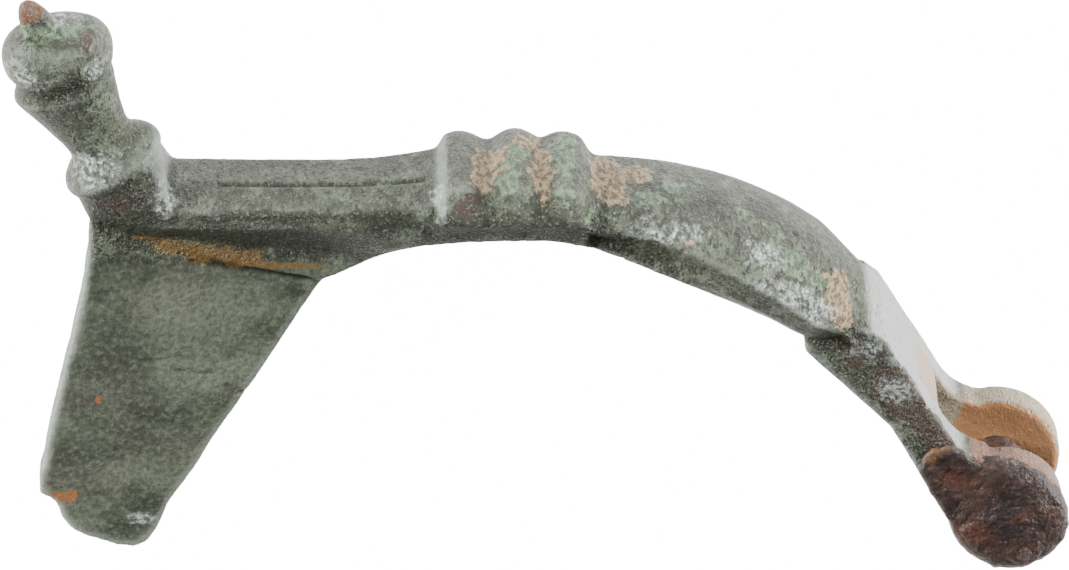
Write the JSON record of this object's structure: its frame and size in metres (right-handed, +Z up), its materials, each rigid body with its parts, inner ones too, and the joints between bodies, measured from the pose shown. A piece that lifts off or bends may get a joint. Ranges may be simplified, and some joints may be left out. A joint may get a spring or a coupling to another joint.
{
  "type": "roman bow fibula brooch",
  "caption": "Cast bronze bow brooch with a knobbed foot, flat catch plate, ridged leg, arched bow and a two-lugged hinge whose iron pin is lost.",
  "frame": {"origin": "middle of the bounding box on the floor, with the brooch lying on its far side", "axes": "+X along the length from the knobbed foot to the hinge, +Y towards the crest of the bow, +Z up from the floor"},
  "size_m": [0.0546, 0.0314, 0.0113],
  "materials": {
    "bronze_patina": "rough green-grey patina",
    "iron_rust": "rusted"
  },
  "bodies": {
    "root": {"cast_brooch": "bronze_patina", "iron_axle": "iron_rust"}
  },
  "joints": []
}
